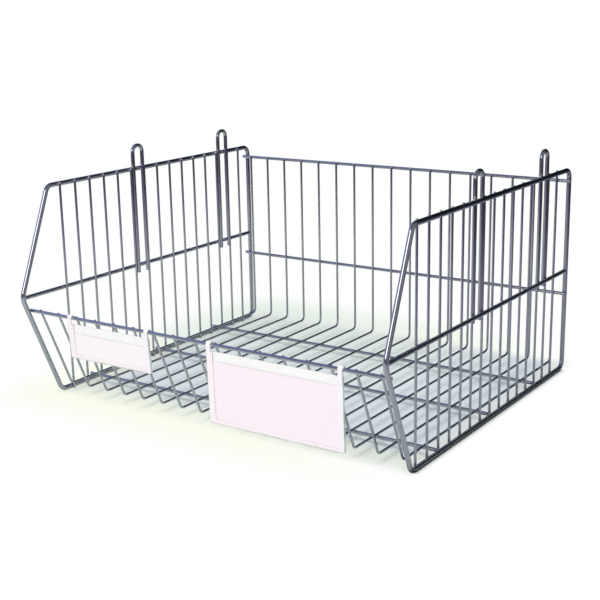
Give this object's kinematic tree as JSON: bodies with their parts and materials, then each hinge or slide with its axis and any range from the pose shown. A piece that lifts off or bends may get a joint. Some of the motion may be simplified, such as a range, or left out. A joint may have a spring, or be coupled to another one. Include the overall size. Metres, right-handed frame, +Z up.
{
  "type": "stacking wire dump bin",
  "caption": "Open-fronted stacking wire dump bin with side frames, hairpin stacking loops, a basket of bent wires and clip-on ticket holders that swing on the front rail.",
  "frame": {"origin": "middle of the footprint at floor level, under the side frames' bottom rails", "axes": "+X to the right seen from the front, +Y to the back, +Z up; the slanted lip and the ticket holders face -Y"},
  "size_m": [0.611, 0.5526, 0.353],
  "materials": {
    "plated_wire": "bright plated steel wire",
    "ticket_holder": "smooth white moulded plastic",
    "ticket_card": "blank matt card"
  },
  "bodies": {
    "bin": {"left_side_frame": "plated_wire", "left_side_mid_rail": "plated_wire", "left_infill_wires_1": "plated_wire", "left_infill_wires_2": "plated_wire", "left_infill_wires_3": "plated_wire", "left_infill_wires_4": "plated_wire", "left_infill_wires_5": "plated_wire", "left_front_stacking_loop": "plated_wire", "left_rear_stacking_loop": "plated_wire", "right_side_frame": "plated_wire", "right_side_mid_rail": "plated_wire", "right_infill_wires_1": "plated_wire", "right_infill_wires_2": "plated_wire", "right_infill_wires_3": "plated_wire", "right_infill_wires_4": "plated_wire", "right_infill_wires_5": "plated_wire", "right_front_stacking_loop": "plated_wire", "right_rear_stacking_loop": "plated_wire", "basket_wire_01": "plated_wire", "basket_wire_02": "plated_wire", "basket_wire_03": "plated_wire", "basket_wire_04": "plated_wire", "basket_wire_05": "plated_wire", "basket_wire_06": "plated_wire", "basket_wire_07": "plated_wire", "basket_wire_08": "plated_wire", "basket_wire_09": "plated_wire", "basket_wire_10": "plated_wire", "basket_wire_11": "plated_wire", "basket_wire_12": "plated_wire", "basket_wire_13": "plated_wire", "basket_wire_14": "plated_wire", "basket_wire_15": "plated_wire", "basket_wire_16": "plated_wire", "basket_wire_17": "plated_wire", "back_top_rail": "plated_wire", "back_mid_rail": "plated_wire", "front_rail": "plated_wire", "front_base_cross_wire": "plated_wire", "middle_base_cross_wire": "plated_wire", "rear_base_cross_wire": "plated_wire"},
    "small_ticket_holder": {"small_ticket_holder": "ticket_holder"},
    "small_ticket_card": {"small_ticket_card": "ticket_card"},
    "large_ticket_holder": {"large_ticket_holder": "ticket_holder"},
    "large_ticket_card": {"large_ticket_card": "ticket_card"}
  },
  "joints": [
    {"name": "small_holder_swing", "type": "hinge", "parent": "bin", "child": "small_ticket_holder", "pos_m": [-0.14845, -0.25992, 0.13799], "axis": [1, 0, 0], "range_deg": [-90, 21.8]},
    {"name": "small_card_slide", "type": "slide", "parent": "small_ticket_holder", "child": "small_ticket_card", "axis": [0, -0.0654, 0.9979], "range_m": [0, 0.043]},
    {"name": "large_holder_swing", "type": "hinge", "parent": "bin", "child": "large_ticket_holder", "pos_m": [0.13048, -0.25992, 0.13799], "axis": [1, 0, 0], "range_deg": [-90, 21.8]},
    {"name": "large_card_slide", "type": "slide", "parent": "large_ticket_holder", "child": "large_ticket_card", "axis": [0, -0.0375, 0.9993], "range_m": [0, 0.093]}
  ]
}
